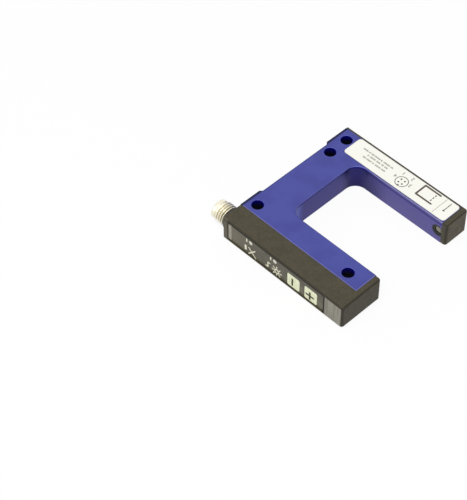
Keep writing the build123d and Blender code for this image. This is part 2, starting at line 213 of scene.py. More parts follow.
def layered(base, *layers):
    """A base colour with layers over it, each given as its mask and its colour."""
    for mask, colour in layers:
        base = tint(mask, base, colour)
    return base


print("blue of the frame as linear numbers:", [round(c, 3) for c in paint(71, 76, 155)])

# %% [markdown]
# The next helpers start a material and read the surface. `grain` is a fine noise in Object
# coordinates, so that it stays in place when the piece moves, and `stretched` squeezes it into
# streaks. `relief` makes a Bump node whose height is given in metres.


# %% Helpers for materials, grain and relief
def new_finish(name, roughness, metallic=0.0, fixed=None):
    """A material, its Principled shader's inputs, and the place on the piece."""
    material = bpy.data.materials.new(name)
    material.use_nodes = True
    shader = material.node_tree.nodes["Principled BSDF"]
    shader.inputs["Roughness"].default_value = roughness
    shader.inputs["Metallic"].default_value = metallic
    for socket, value in (fixed or {}).items():
        shader.inputs[socket].default_value = value
    place = Field(shader.outputs[0]).node("ShaderNodeTexCoord", output="Object")
    return material, shader.inputs, place


def grain(place, size, detail=2.0):
    """Noise with features of about this size in metres, around 0.5."""
    inputs = {"Vector": place, "Scale": 1 / size, "Detail": detail}
    return place.node("ShaderNodeTexNoise", None, inputs)


def stretched(place, scales):
    """The place with its X, Y and Z multiplied, so that a grain on it becomes streaks."""
    return place.node("ShaderNodeVectorMath", {"operation": "MULTIPLY"}, {0: place, 1: scales})


def relief(height, depth, strength=1.0):
    """A normal that follows a height from 0 to 1, which stands for this depth in metres."""
    inputs = {"Height": height, "Distance": depth, "Strength": strength}
    return height.node("ShaderNodeBump", None, inputs)


def axes(place):
    """The X, Y and Z of a place, each as a field of its own."""
    return [place.node("ShaderNodeSeparateXYZ", None, {0: place}, output=i) for i in range(3)]


def facing(place, normal="True Normal"):
    """How far the surface faces along X, Y and Z, from -1 to 1. Normal is the smoothed one."""
    return axes(place.node("ShaderNodeNewGeometry", output=normal))


def apply_finish(material, *pieces):
    """Gives the whole of each piece this one material."""
    for piece in pieces:
        piece.data.materials.clear()
        piece.data.materials.append(material)
    print(material.name, "on", [piece.name for piece in pieces])


print("new_finish starts each material")

# %% [markdown]
# ## Floor and light
# The photograph shows the sensor on plain white. The floor is a matt white sheet that keeps the
# soft shadow. To the camera, and to rays from glossy and clear faces, Light Path mixes in a plain
# white of strength 1, so the ground reads as white while the light that the floor throws back on
# the sensor stays natural. Under the sensor a tenth of the real floor stays in the mix, and
# farther out the ground turns pure white.

# %% Floor
WHITE_LIGHT = {"Color": (1, 1, 1, 1), "Strength": 1.0}
FLOOR_HALF_SIZE = 3.0
FLOOR_DROP = 0.05 * MM  # keeps the sheet and the sensor's flat base apart
SHARE_UNDER_SENSOR = 0.9
WHITE_FROM, WHITE_TO = 0.08, 0.30  # distances from the middle of the sensor

floor_mesh = bpy.data.meshes.new("floor")
sheet = bmesh.new()
bmesh.ops.create_grid(sheet, x_segments=1, y_segments=1, size=FLOOR_HALF_SIZE)
bmesh.ops.translate(sheet, verts=sheet.verts, vec=(0, 0, -FLOOR_DROP))
sheet.to_mesh(floor_mesh)
sheet.free()
floor = bpy.data.objects.new("floor", floor_mesh)
bpy.context.scene.collection.objects.link(floor)


def seen_share(place, share):
    """A field that is this share for camera, glossy and transmission rays, and 0 for others."""
    camera_ray, glossy_ray, through_ray = [
        place.node("ShaderNodeLightPath", output=f"Is {kind} Ray")
        for kind in ("Camera", "Glossy", "Transmission")
    ]
    return place.math("MINIMUM", camera_ray + glossy_ray + through_ray, 1.0) * share


floor_white, floor_shader, floor_place = new_finish("floor_white", 0.9)
floor_shader["Base Color"].default_value = paint(250, 250, 250)
floor_shader["Specular IOR Level"].default_value = 0.0
matt = Field(floor_white.node_tree.nodes["Principled BSDF"].outputs[0])
glow = matt.node("ShaderNodeEmission", None, WHITE_LIGHT)
floor_x, floor_y, _ = axes(floor_place)
far_away = ramp((floor_x ** 2 + floor_y ** 2) ** 0.5, WHITE_FROM, WHITE_TO)
seen = seen_share(floor_place, SHARE_UNDER_SENSOR + far_away * (1 - SHARE_UNDER_SENSOR))
white_ground = glow.node("ShaderNodeMixShader", None, {0: seen, 1: matt, 2: glow})
feed(floor_white.node_tree.nodes["Material Output"].inputs["Surface"], white_ground)
apply_finish(floor_white, floor)

# %% [markdown]
# The room is one even pale light from all sides, which opens the shadows. Like the floor, it is
# plain white to the camera and in reflections, so no horizon shows behind the sensor.

# %% World
ROOM_LIGHT = 0.46

world = bpy.data.worlds.new("studio")
bpy.context.scene.world = world
world.use_nodes = True
room = world.node_tree.nodes["Background"]
feed(room.inputs["Color"], paint(250, 250, 252))
feed(room.inputs["Strength"], ROOM_LIGHT)
room_light = Field(room.outputs[0])
white_wall = room_light.node("ShaderNodeBackground", None, WHITE_LIGHT)
mixed = {0: seen_share(room_light, 1.0), 1: room_light, 2: white_wall}
seen_world = room_light.node("ShaderNodeMixShader", None, mixed)
feed(world.node_tree.nodes["World Output"].inputs["Surface"], seen_world)
print("room light", ROOM_LIGHT, "and white to the camera")

# %% [markdown]
# Two large soft lamps do the rest. The main one hangs high over the side of the keys, nearly
# above the camera's line, and makes the top the brightest face. A weaker one stands low at the
# camera's left and lifts the face with the keys. Their power is set so that a matt colour on the
# top renders about as it is written.


# %% Lamps
def add_lamp(name, place, size, power):
    """A square soft lamp that points at the sensor."""
    light = bpy.data.lights.new(name, "AREA")
    light.size = size
    light.energy = power
    lamp = bpy.data.objects.new(name, light)
    lamp.location = place
    lamp.rotation_euler = (-Vector(place)).to_track_quat("-Z", "Y").to_euler()
    bpy.context.scene.collection.objects.link(lamp)
    print(name, "at", place, "with", power, "W")


add_lamp("main_lamp", (0.10, -0.22, 0.62), size=0.45, power=2.9)
add_lamp("front_lamp", (-0.35, -0.45, 0.22), size=0.30, power=0.38)

# %% [markdown]
# ## Blue anodised frame
# The fork is milled from aluminium plate, blasted and dyed blue. Up close such a face has a very
# fine, even grain and clouds of slightly stronger and weaker dye. Light and shade are painted over
# the dye: a pale highlight on the chamfers, painted shading on the walls of the gap that deepens
# towards its root and far corner, painted light on its near corner and towards the tips, and a
# near-black painted shade in the bores. A dark line is painted under the top edge of the gap. All
# of that is one node material on the CAD node, since its shape is already right. A painted image
# could do it too, but sums on the place stay sharp at any distance and follow the model's own faces.


# %% Helpers for the frame
def nearest_bore(x, y):
    """Distance to the axis of the nearest mounting bore, in metres."""
    nearest = None
    for bore in bores:
        bore_x, bore_y, _ = bore["pos_m"]
        reach = ((x - bore_x) ** 2 + (y - bore_y) ** 2) ** 0.5
        nearest = reach if nearest is None else reach.math("MINIMUM", reach, nearest)
    return nearest


def rounded_frame(x, y, low, high, reach):
    """1 in a narrow band just outside a rectangle, which fades out over its reach."""
    middle, half = (low + high) / 2, (high - low) / 2
    beyond_x = abs(x - middle.x) - half.x
    beyond_y = abs(y - middle.y) - half.y
    return ramp(larger(beyond_x, beyond_y), reach, 0.0)


bore_radius = bores[0]["dims"]["r_mm"] * MM
print("bores of radius", round(bore_radius / MM, 2), "mm")

# %% [markdown]
# The masks of the gap's walls come first. Painted shade darkens the walls towards the root, most
# of all in the far corner, while painted light brightens the near corner.

# %% Walls and bores of the frame
LINE_DEPTH, LINE_RISE = 1.3 * MM, 0.65 * MM

anodised, shader, place = new_finish("anodised_blue", 0.42, 0.3, {"Specular IOR Level": 0.4})
x, y, z = axes(place)
face_x, face_y, face_z = facing(place)
cloud = grain(place, 9 * MM)
blast = grain(place, 0.11 * MM, 3.0)
upright = ramp(abs(face_z), 0.4, 0.2)
level = 1 - upright
in_bore = ramp(nearest_bore(x, y), bore_radius + 0.09 * MM, bore_radius + 0.02 * MM)
gap_wall = upright * ramp(x, back_x + 2 * MM, back_x + 4 * MM) * (1 - in_bore)
# places for painted shade at the root and far corner, and painted light near the tips
gap_root = gap_wall * ramp(x, 6 * MM, -9 * MM)
shaded_far_corner = gap_root * ramp(y, 12 * MM, 17 * MM)
lit_near_corner = gap_root * ramp(y, -5.5 * MM, -8.5 * MM)
lit_toward_tip = gap_wall * ramp(x, -2 * MM, 14 * MM)
line_height = top_z - LINE_DEPTH + gap_root * LINE_RISE
# a dark line painted on the walls under the top edge, a little higher at the root
dark_wall_line = gap_wall * ramp(abs(z - line_height), 0.58 * MM, 0.36 * MM)
dark_wall_line = dark_wall_line * (0.62 + gap_root * 0.38)
print("cutter's line", LINE_DEPTH / MM, "mm under the top, and less at the root of the gap")

# %% [markdown]
# The edges come next. The pads stand out at the back, with a shallow relief between them, and
# their edges are painted in shade. A painted glint follows the seam to the control cover, a painted
# highlight runs along the label arm, a painted shadow rims the label, and a dark corner lies by it.

# %% Edges of the frame
RELIEF_FROM, RELIEF_TO, RELIEF_DEPTH = -12.1 * MM, 18.9 * MM, 0.85 * MM
ARM_EDGE_Y = 19.8 * MM

chamfer = ramp(abs(face_z), 0.4, 0.6) * ramp(abs(face_z), 0.9, 0.8)
shaded_chamfer = chamfer * ramp(face_y - face_x, 0.2, 0.6)
pad_edge = level * ramp(x, back_x + 1.2 * MM, back_x + 1.0 * MM)
relief_x = back_x + RELIEF_DEPTH
relief_edge = level * between(y, RELIEF_FROM, RELIEF_TO, 0.3 * MM)
relief_edge = relief_edge * ramp(x, relief_x + 0.7 * MM, relief_x + 0.45 * MM)
seam_side = ramp(y, seam_y + 0.36 * MM, seam_y + 0.2 * MM)
seam_tip = ramp(x, seam_end_x - 0.36 * MM, seam_end_x - 0.2 * MM) * ramp(y, 0, -1 * MM)
seam_glint = larger(seam_side, seam_tip) * level
# where a painted highlight runs along the label arm's edge
arm_edge_highlight = chamfer * ramp(abs(y - ARM_EDGE_Y), 0.4 * MM, 0.25 * MM) * ramp(x, -4 * MM, -1 * MM)
gap_side = ramp(y, label_low.y + 0.05 * MM, label_low.y)
# where a painted shadow rims the label
label_shadow = rounded_frame(x, y, label_low, label_high, 0.34 * MM) * level
cap_corner = ramp(x, label_high.x - 1.3 * MM, label_high.x - 0.9 * MM)
cap_corner = cap_corner * ramp(y, label_high.y - 1.3 * MM, label_high.y - 0.9 * MM)
print("dark edges on the pads behind", round(back_x / MM + 1, 2), "and in the relief between them")

# %% [markdown]
# The dye and the painted light and shade are laid in layers over the body colour. Each layer is
# a mask and a colour, and it covers the ones before it by its mask, so the painted shade of the
# bores comes last and stays dark to their rims. The gap's walls, the bores and the shaded chamfers
# are more metallic, so that what they reflect takes the dye's colour.

# %% Dye, painted light and painted shade of the frame
dye_and_painted_light = layered(
    tint(ramp(cloud, 0.35, 0.65), paint(65, 69, 146), paint(71, 76, 155)),
    # a painted highlight on the chamfers
    (chamfer * (0.1 + cloud * 0.2), paint(122, 122, 190)),
    (seam_glint * 0.4, paint(146, 140, 190)),
    # painted shading on the walls of the gap, bluer towards their top
    (gap_wall * 0.8, paint(92, 85, 139)),
    (gap_wall * ramp(z, 2 * MM, 9 * MM) * 0.35, paint(66, 60, 150)),
    # painted light on the walls towards the tips
    (lit_toward_tip * 0.5, paint(99, 92, 153)),
    # a painted highlight along the label arm's edge
    (arm_edge_highlight * 0.5, paint(145, 140, 162)),
    # painted shade towards the root of the gap, deepest low in its far corner
    (gap_root * 0.8, paint(38, 34, 112)),
    (shaded_far_corner * 0.6, paint(26, 22, 84)),
    (shaded_far_corner * ramp(z, 7 * MM, 1 * MM) * 0.5, paint(14, 10, 62)),
    # painted light on the near corner
    (lit_near_corner * 0.7, paint(76, 86, 176)),
    # the dark line painted under the top edge of the walls
    (dark_wall_line * 0.95, paint(14, 12, 112)),
    # a painted shadow round the label
    (label_shadow * (0.25 + gap_side * 0.5), paint(34, 34, 84)),
    (cap_corner * 0.8, paint(44, 42, 44)),
    # painted shade on the edges of the relief and of the pads
    (relief_edge * 0.45, paint(40, 42, 100)),
    (pad_edge * 0.9, paint(26, 28, 60)),
    (shaded_chamfer * 0.85, paint(34, 30, 76)),
    # near-black painted shade in the bores, bluer near their top
    (in_bore * 0.95, paint(2, 2, 10)),
    (in_bore * ramp(z, top_z - 3.2 * MM, top_z - 0.6 * MM) * 0.9, paint(6, 4, 150)),
)
dull = in_bore * 0.25 + pad_edge * 0.35 + shaded_chamfer * 0.45
feed(shader["Base Color"], dye_and_painted_light)
feed(shader["Roughness"], 0.34 + blast * 0.16 + dull)
feed(shader["Metallic"], 0.3 + gap_wall * 0.5 + in_bore * 0.7 + shaded_chamfer * 0.6)
feed(shader["Normal"], relief(blast, 0.008 * MM, 0.5))
apply_finish(anodised, nodes["fork_frame"])

# %% [markdown]
# ## Moulded covers
# Both covers are black-olive glass-filled plastic from a spark-eroded mould, which leaves a fine
# matt texture. The glass shows as faint pale flecks. The rounded edges are polished smoother by
# handling and painted darker as shade, the end faces of the tips are browner, and a thin dark line
# marks the joint to the frame. Both covers are of one plastic, so they share one material.

# %% Plastic of the covers
olive, shader, place = new_finish("cover_plastic", 0.56, 0.0, {"Specular IOR Level": 0.45})
x, y, z = axes(place)
face_x, face_y, face_z = facing(place, "Normal")
cloud = grain(place, 5 * MM)
smudge = grain(place, 1.8 * MM, 3.0)
speckle = grain(place, 0.45 * MM, 3.0)
texture = grain(place, 0.16 * MM, 4.0)
fleck = ramp(grain(place, 0.28 * MM, 1.0), 0.66, 0.76)
tip_face = ramp(face_x, 0.7, 0.95)
rounded_edge = ramp(face_x ** 4 + face_y ** 4 + face_z ** 4, 0.93, 0.75)
joint_y = ramp(abs(y - seam_y), 0.3 * MM, 0.12 * MM) * ramp(x, seam_end_x + 0.1 * MM, seam_end_x)
joint_x = ramp(abs(x - seam_end_x), 0.3 * MM, 0.12 * MM) * ramp(y, seam_y - 0.2 * MM, seam_y)
joint = larger(joint_y, joint_x) * ramp(abs(face_z), 0.8, 0.95)
print("joint to the frame at y", round(seam_y / MM, 2), "and x", round(seam_end_x / MM, 2))

# %% [markdown]
# The front of the control cover frames the foil. A painted shadow lies above it as a dark brow, the
# rim at its start is a little paler, a painted shadow closes its end as a dark line, and the flat
# panel beyond is smoother and paler, with upright streaks. These masks are measured from the foil's
# own box.

# %% Front of the control cover
groove_end = foil_high.x + 0.5 * MM
panel_start = groove_end + 0.2 * MM
front = ramp(y, cover_low.y + 0.8 * MM, cover_low.y + 0.6 * MM)
# a painted shadow on the cover's edge above the foil
brow_shadow = front * ramp(x, panel_start, groove_end)
brow_shadow = brow_shadow * between(z, foil_high.z - 0.1 * MM, foil_high.z + 0.5 * MM, 0.2 * MM)
foil_start = front * ramp(x, foil_low.x + 0.1 * MM, foil_low.x)
# a painted shadow in the groove at the foil's far end
foil_end_shadow = front * between(x, foil_high.x - 0.1 * MM, groove_end + 0.25 * MM, 0.08 * MM)
foil_end_shadow = foil_end_shadow * between(z, foil_low.z, foil_high.z, 0.12 * MM)
end_panel = front * ramp(x, panel_start, groove_end + 0.4 * MM) * ramp(face_y, -0.93, -0.99)
end_panel = end_panel * ramp(z, top_z - 0.7 * MM, top_z - 1.1 * MM)
streaks = grain(stretched(place, (1, 1, 0.06)), 0.5 * MM, 3.0)
print("the pale end panel starts at", round(panel_start / MM, 2))

# %% [markdown]
# The shades are laid in layers too: the body with its flecks, the browner tips, pale and dark
# speckles, and then the edges and the foil's surround, with their painted shade, and the joint.

# %% Shades of the covers
tip_shade = tint(ramp(smudge, 0.35, 0.65), paint(64, 58, 43), paint(86, 76, 58))
shade = layered(
    tint(fleck * 0.25 + cloud * 0.12, paint(47, 43, 22), paint(104, 95, 68)),
    (ramp(smudge, 0.38, 0.62) * 0.35, paint(72, 64, 44)),
    (tip_face * 0.85, tip_shade),
    (tip_face * ramp(y, 5 * MM, -5 * MM) * 0.65, paint(45, 40, 28)),
    (ramp(speckle, 0.52, 0.68) * 0.22, paint(88, 80, 58)),
    (ramp(speckle, 0.48, 0.34) * 0.3, paint(28, 26, 16)),
    # painted shade on the rounded edges
    (rounded_edge * 0.5, paint(36, 34, 27)),
    # painted shadow above the foil
    (brow_shadow * 0.85, paint(32, 29, 21)),
    # painted shadow at the foil's far end
    (foil_end_shadow * 0.9, paint(14, 12, 9)),
    (foil_start * 0.4, paint(104, 98, 80)),
    (end_panel * (0.5 + ramp(streaks, 0.3, 0.7) * 0.45), paint(142, 138, 124)),
    (joint * 0.65, paint(24, 24, 28)),
)
muted = larger(larger(brow_shadow, rounded_edge) * 0.45, tip_face * 0.4)
feed(shader["Base Color"], shade)
feed(shader["Roughness"], 0.47 + texture * 0.2 - end_panel * 0.15 - rounded_edge * 0.08)
feed(shader["Metallic"], larger(foil_end_shadow * 0.9, muted))
feed(shader["Normal"], relief(texture, 0.02 * MM, 0.55))
apply_finish(olive, nodes["control_cover"], nodes["label_arm_cover"])

# %% [markdown]
# ## Keypad foil
# The foil is a satin grey polyester film, sunk into the cover. Its back is painted, so the
# colour lies deep and even and the top catches a soft sheen, which a thin coat gives. Light and
# shade are painted on it: painted light at the plug's end, along its first rim and low down round
# the keys, a little painted shade in the middle, a painted shadow under the edge of the cover
# above, and a dark painted shadow at its far end.

# %% Keypad foil
FOIL_SHEEN = {"Coat Weight": 0.05, "Coat Roughness": 0.3, "Specular IOR Level": 0.3}

foil, shader, place = new_finish("keypad_film", 0.36, 0.0, FOIL_SHEEN)
x, _, z = axes(place)
cloud = grain(place, 6 * MM)
orange_peel = grain(place, 0.5 * MM, 1.0)
plug_end_light = ramp(x, -9 * MM, foil_low.x + 2 * MM)
light_low_by_keys = ramp(x, 3 * MM, 9 * MM) * ramp(z, 6 * MM, 3 * MM)
under_brow = ramp(z, foil_high.z - 1.5 * MM, foil_high.z - 0.3 * MM) * ramp(x, foil_low.x, foil_high.x)
start_light = ramp(x, foil_low.x + 0.4 * MM, foil_low.x + 0.2 * MM)
far_end_shadow = ramp(x, foil_high.x - 0.3 * MM, foil_high.x - 0.12 * MM)
shade = layered(
    tint(ramp(cloud, 0.3, 0.7), paint(75, 71, 55), paint(88, 83, 68)),
    # painted light towards the plug's end
    (plug_end_light * 0.5, paint(112, 106, 86)),
    # a little painted shade in the middle
    (between(x, -6 * MM, 2 * MM, 4 * MM) * 0.12, paint(62, 58, 45)),
    # painted light low down round the keys
    (light_low_by_keys * 0.5, paint(112, 106, 86)),
    # painted shadow under the edge of the cover
    (under_brow * 0.4, paint(40, 37, 28)),
    # painted light along the rim at the plug's end
    (start_light * 0.7, paint(140, 134, 116)),
    # a dark painted shadow at the far end
    (far_end_shadow * 0.8, paint(24, 22, 18)),
)
feed(shader["Base Color"], shade)
feed(shader["Roughness"], 0.36 + orange_peel * 0.14)
feed(shader["Normal"], relief(orange_peel, 0.012 * MM, 0.3))
apply_finish(foil, nodes["keypad_foil"])

# %% [markdown]
# ## Keys
# The keys are pale yellowish plastic. Finger grease and wear make their middle a little darker
# and shinier than the rim, which is drawn here as a soft mask round the centre of each key.


# %% Key caps
def key_plastic(name, key):
    """Pale satin plastic that is slightly darker towards the middle of this key."""
    low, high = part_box(key)
    middle = (low + high) / 2
    material, shader, place = new_finish(name, 0.4)
    x, _, z = axes(place)
    worn = ramp(((x - middle.x) ** 2 + (z - middle.z) ** 2) ** 0.5, 3.2 * MM, 0.6 * MM)
    fine = grain(place, 0.2 * MM, 2.0)
    cap = tint(worn * 0.6 + fine * 0.1, paint(233, 236, 202), paint(214, 219, 172))
    feed(shader["Base Color"], cap)
    feed(shader["Roughness"], 0.46 - worn * 0.1 + fine * 0.06)
    feed(shader["Normal"], relief(fine, 0.006 * MM, 0.4))
    apply_finish(material, nodes[key])
    return middle


minus_middle = key_plastic("minus_key_plastic", "minus_key")
plus_middle = key_plastic("plus_key_plastic", "plus_key")
print("keys are", round((plus_middle.x - minus_middle.x) / MM, 2), "mm apart")

# %% [markdown]
# ## Threaded plug
# The plug is a nickel-plated brass sleeve with an M8 fine thread of 1 mm pitch. The solid model
# has a plain cylinder there. A lathe makes the sleeve: `spin` turns a profile once round the
# axis, with three short helpers. A bump could fake the thread, but its outline would stay
# straight, so it is modelled.


# %% Helpers for turned pieces
def spin_round(bm, shape, steps, turns=1, push=0.0):
    """Spins a shape round the plug's axis. A push along it at each step makes a screw."""
    bmesh.ops.spin(
        bm, geom=shape, cent=plug_axis, axis=(1, 0, 0), dvec=(push, 0, 0), angle=math.tau * turns,
        steps=steps, use_merge=not push, use_normal_flip=False, use_duplicate=False,
    )


def section(bm, points):
    """The points of a section, given in millimetres as x and the distance from the axis."""
    return [bm.verts.new((x_mm * MM, plug_y, middle_z + reach * MM)) for x_mm, reach in points]


def turned(bm, points, steps=96):
    """Spins a closed profile round the plug's axis."""
    corners = section(bm, points)
    edges = [bm.edges.new((corners[i], corners[i - 1])) for i in range(len(corners))]
    spin_round(bm, corners + edges, steps)


print("pieces are turned round y", round(plug_y / MM, 2), "and z", round(middle_z / MM, 2))

# %% [markdown]
# A finished bmesh becomes a piece in the same way each time: double points are merged, the normals
# are turned outwards, and the faces are shaded smooth but for the edges that are really sharp.


# %% Helpers for new pieces
MERGE_WITHIN = 0.0005 * MM


def whole(bm):
    """All faces, edges and points of a bmesh."""
    return bm.faces[:] + bm.edges[:] + bm.verts[:]


def make_piece(name, bm, body, smooth_angle=35):
    """Turns a bmesh into a piece that rides on a body, shaded smooth up to an angle."""
    bmesh.ops.remove_doubles(bm, verts=bm.verts, dist=MERGE_WITHIN)
    bmesh.ops.recalc_face_normals(bm, faces=bm.faces)
    for face in bm.faces:
        face.smooth = True
    for edge in bm.edges:
        if edge.is_manifold and edge.calc_face_angle() > math.radians(smooth_angle):
            edge.smooth = False
    mesh = bpy.data.meshes.new(name)
    bm.to_mesh(mesh)
    bm.free()
    piece = bpy.data.objects.new(name, mesh)
    bpy.context.scene.collection.objects.link(piece)
    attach(piece, body)
    print(name, "has", len(mesh.polygons), "faces")
    return piece


# %% Sleeve of the plug
THREAD_RADIUS = 4.0  # these five are radii in millimetres
THREAD_ROOT = 3.42
NECK = 3.3
COLLAR = 3.6
BORE = 2.75
SEAL_GROOVE = 0.94  # and these two are lengths
THREAD_LENGTH = 4.0

plug_face = back_x / MM
thread_start = plug_face - SEAL_GROOVE
thread_end = thread_start - THREAD_LENGTH
nose = plug_low.x / MM
foot = plug_high.x / MM

sleeve = bmesh.new()
turned(sleeve, [
    (foot, BORE), (foot, NECK), (thread_start + 0.02, NECK), (thread_start, THREAD_ROOT),
    (thread_end + 0.1, THREAD_ROOT), (thread_end, NECK), (nose + 1.75, NECK), (nose + 1.7, 3.35),
    (nose + 1.7, 3.5), (nose + 1.6, COLLAR), (nose + 0.45, COLLAR), (nose + 0.18, 3.48),
    (nose + 0.04, 3.28), (nose, 3.1), (nose, 2.95), (nose + 0.2, BORE),
])
plug_sleeve = make_piece("threaded_sleeve", sleeve, "root")
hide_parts("plug_sleeve")

# %% [markdown]
# The thread is one tooth, swept by the same tool with a push along the axis at each step, so its
# section climbs one pitch in each turn. The tooth's foot lies a little under the sleeve's surface,
# so nothing gapes between them. Both ends of the thread are cut square with `bisect_plane`.

# %% Thread of the plug
PITCH = 1.0
STEPS_PER_TURN = 72
TURNS = 6
TOOTH = (
    (0.01, 3.36), (0.36, 3.92), (0.41, 3.98), (0.46, THREAD_RADIUS),
    (0.54, THREAD_RADIUS), (0.59, 3.98), (0.64, 3.92), (0.99, 3.36),
)

tooth = bmesh.new()
tooth_start = thread_start + PITCH
tooth.faces.new(section(tooth, [(tooth_start - offset, reach) for offset, reach in TOOTH]))
push = -PITCH * MM / STEPS_PER_TURN
spin_round(tooth, whole(tooth), STEPS_PER_TURN * TURNS, TURNS, push)
for cut_x, away in ((thread_start, 1), (thread_end, -1)):
    cut = bmesh.ops.bisect_plane(
        tooth, geom=whole(tooth), plane_co=(cut_x * MM, 0, 0), plane_no=(away, 0, 0), clear_outer=True,
    )
    rim = [part for part in cut["geom_cut"] if isinstance(part, bmesh.types.BMEdge)]
    bmesh.ops.holes_fill(tooth, edges=rim, sides=0)
plug_thread = make_piece("plug_thread", tooth, "root", smooth_angle=50)

# %% [markdown]
# Nickel plate is a warm white metal. Its colour barely changes over the surface, but its polish
# does: the crests are rubbed bright and the grooves keep a dull brown film. Near the cover the
# grooves are painted darker still, as the cover's shadow. The distance from the plug's axis tells
# crest from groove. The low side is painted brightest, as a reflection of the white ground.

# %% Nickel plate
nickel, shader, place = new_finish("nickel_plate", 0.3, 1.0)
x, y, z = axes(place)
reach = ((y - plug_y) ** 2 + (z - middle_z) ** 2) ** 0.5
on_thread = ramp(x, thread_start * MM, (thread_start - 0.1) * MM)
on_thread = on_thread * ramp(x, (thread_end - 0.1) * MM, thread_end * MM)
groove = on_thread * (1 - ramp(reach, 3.5 * MM, 3.95 * MM))
cover_shadow = on_thread * ramp(x, (thread_end + 1.5) * MM, (thread_start - 0.5) * MM)
ground_reflection = ramp((z - middle_z) + (y - plug_y), -3.4 * MM, -5.0 * MM)
turning = grain(stretched(place, (1, 0.02, 0.02)), 0.09 * MM, 3.0)
plate = layered(
    tint(grain(place, 1.5 * MM), paint(235, 230, 208), paint(245, 241, 224)),
    # the grooves' brown film, with painted shade near the cover
    (groove * (0.6 + cover_shadow * 0.35), paint(176, 162, 124)),
    # painted shadow of the cover in the grooves
    (groove * cover_shadow * 0.6, paint(96, 84, 56)),
    # painted reflection of the white ground on the low side
    (ground_reflection * 0.9, paint(255, 254, 250)),
)
feed(shader["Base Color"], plate)
feed(shader["Roughness"], 0.3 + turning * 0.14 + groove * 0.14)
feed(shader["Normal"], relief(turning, 0.006 * MM, 0.4))
apply_finish(nickel, plug_sleeve, plug_thread)

# %% [markdown]
# The seal is a soft black ring in the groove between the thread and the cover. A ring of round
# section is a circle spun round the axis, so `create_circle` and `spin` make it.

# %% Seal ring
RING_RADIUS = 0.43

ring = bmesh.new()
ring_x, ring_reach = plug_face - SEAL_GROOVE / 2, NECK + RING_RADIUS
circle_place = Matrix.Translation((ring_x * MM, plug_y, middle_z + ring_reach * MM))
circle_place = circle_place @ Matrix.Rotation(math.radians(90), 4, "X")
bmesh.ops.create_circle(
    ring, cap_ends=False, segments=24, radius=RING_RADIUS * MM, matrix=circle_place,
)
spin_round(ring, whole(ring), 96)
seal_ring = make_piece("seal_ring", ring, "root")
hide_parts("plug_seal")

rubber, shader, place = new_finish("seal_rubber", 0.55)
dust = grain(place, 0.7 * MM, 4.0)
dusty = tint(ramp(dust, 0.45, 0.75) * 0.5, paint(26, 26, 26), paint(62, 60, 54))
feed(shader["Base Color"], dusty)
feed(shader["Roughness"], 0.45 + dust * 0.25)
feed(shader["Normal"], relief(grain(place, 0.08 * MM), 0.006 * MM, 0.5))
apply_finish(rubber, seal_ring)

# %% [markdown]
# Four gold-plated contacts stand in the insert. They get the rounded tips that let a socket slide
# on: one pin is turned, then copied round the plug's axis with `duplicate` and `rotate`.

# %% Contact pins
PIN_RADIUS = 0.5
PIN_CIRCLE = 1.5
ON_AXIS = 0.0001  # so near the axis that merging its points closes the pole

pins_low, pins_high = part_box("plug_pins")
tip, root = pins_low.x / MM, pins_high.x / MM
pin = bmesh.new()
turned(pin, [
    (root, ON_AXIS), (root, PIN_RADIUS), (tip + 0.5, PIN_RADIUS), (tip + 0.28, 0.46),
    (tip + 0.12, 0.36), (tip + 0.03, 0.2), (tip, ON_AXIS),
], 24)
bmesh.ops.remove_doubles(pin, verts=pin.verts, dist=ON_AXIS * 10 * MM)
bmesh.ops.translate(pin, verts=pin.verts, vec=(0, 0, PIN_CIRCLE * MM))


def turn_about_plug(bm, verts, degrees):
    """Rotates points round the plug's axis."""
    turn = Matrix.Rotation(math.radians(degrees), 3, "X")
    bmesh.ops.rotate(bm, verts=verts, cent=plug_axis, matrix=turn)


turn_about_plug(pin, pin.verts, 45)
first_pin = whole(pin)
for quarter in (1, 2, 3):
    copied = bmesh.ops.duplicate(pin, geom=first_pin)["geom"]
    copied_verts = [part for part in copied if isinstance(part, bmesh.types.BMVert)]
    turn_about_plug(pin, copied_verts, 90 * quarter)
contact_pins = make_piece("contact_pins", pin, "root")
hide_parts("plug_pins")

gold, shader, place = new_finish("gold_contact", 0.2, 1.0)
film = grain(place, 0.6 * MM)
feed(shader["Base Color"], tint(film, paint(214, 176, 98), paint(232, 200, 128)))
feed(shader["Roughness"], 0.16 + film * 0.12)
apply_finish(gold, contact_pins)

# %% [markdown]
# ## Optics
# The beam leaves and enters through a small glass lens in a black holder. The holder is matt, so
# that stray light dies in it, and the same black plastic serves the plug's insert and a header
# inside. The shapes of the solid model are right, so only the finishes are added.

# %% Black mouldings
black, shader, place = new_finish("black_moulding", 0.6)
texture = grain(place, 0.12 * MM, 3.0)
feed(shader["Base Color"], tint(ramp(texture, 0.35, 0.7), paint(14, 14, 16), paint(26, 25, 25)))
feed(shader["Roughness"], 0.5 + texture * 0.25)
feed(shader["Normal"], relief(texture, 0.012 * MM, 0.5))
mouldings = ("emitter_holder", "receiver_holder", "plug_insert", "board_header")
apply_finish(black, *[nodes[name] for name in mouldings])

# %% [markdown]
# The lens is clear glass with a faint olive tone: Transmission and a very low roughness. The
# emitter and the receiver behind it are tinted resin, glossy but closed.

# %% Lens glass and tinted resin
glass, shader, place = new_finish("lens_glass", 0.06, 0.0, {"Transmission Weight": 0.6, "IOR": 1.5})
haze = grain(place, 0.8 * MM)
feed(shader["Base Color"], tint(haze, paint(186, 184, 150), paint(204, 202, 172)))
feed(shader["Roughness"], 0.05 + haze * 0.08)
apply_finish(glass, nodes["emitter_lens"], nodes["receiver_lens"])

resin, shader, place = new_finish("diode_resin", 0.15)
haze = grain(place, 0.5 * MM)
feed(shader["Base Color"], tint(haze, paint(70, 72, 80), paint(98, 100, 104)))
feed(shader["Roughness"], 0.1 + haze * 0.15)
apply_finish(resin, nodes["emitter_diode"], nodes["receiver_diode"])

